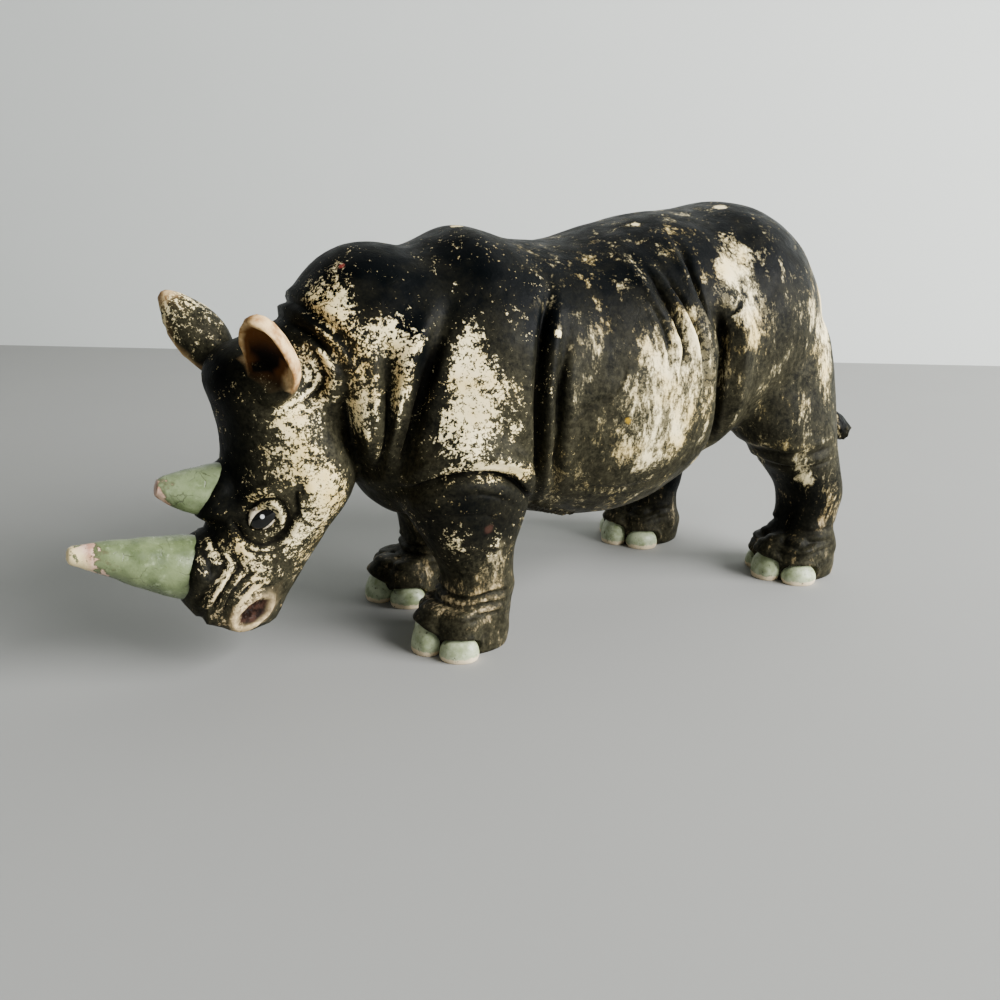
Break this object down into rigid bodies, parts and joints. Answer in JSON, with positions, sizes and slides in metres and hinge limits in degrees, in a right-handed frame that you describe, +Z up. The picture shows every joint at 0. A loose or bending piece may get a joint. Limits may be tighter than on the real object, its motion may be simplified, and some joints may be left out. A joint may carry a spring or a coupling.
{
  "type": "rhinoceros figurine",
  "caption": "Moulded rhinoceros figurine standing on its feet with its head low, horned snout, folded hide and worn dark paint over cream plastic.",
  "frame": {"origin": "centre of the figurine's box at floor level, in the plane of the flat soles", "axes": "-X is the way the head faces, +Z is up, -Y is the animal's left side"},
  "size_m": [0.1612, 0.0528, 0.0751],
  "materials": {
    "painted_vinyl": "satin black paint rubbed through to cream vinyl, pale green horns and toenails"
  },
  "bodies": {
    "root": {"rhinoceros": "painted_vinyl"}
  },
  "joints": []
}
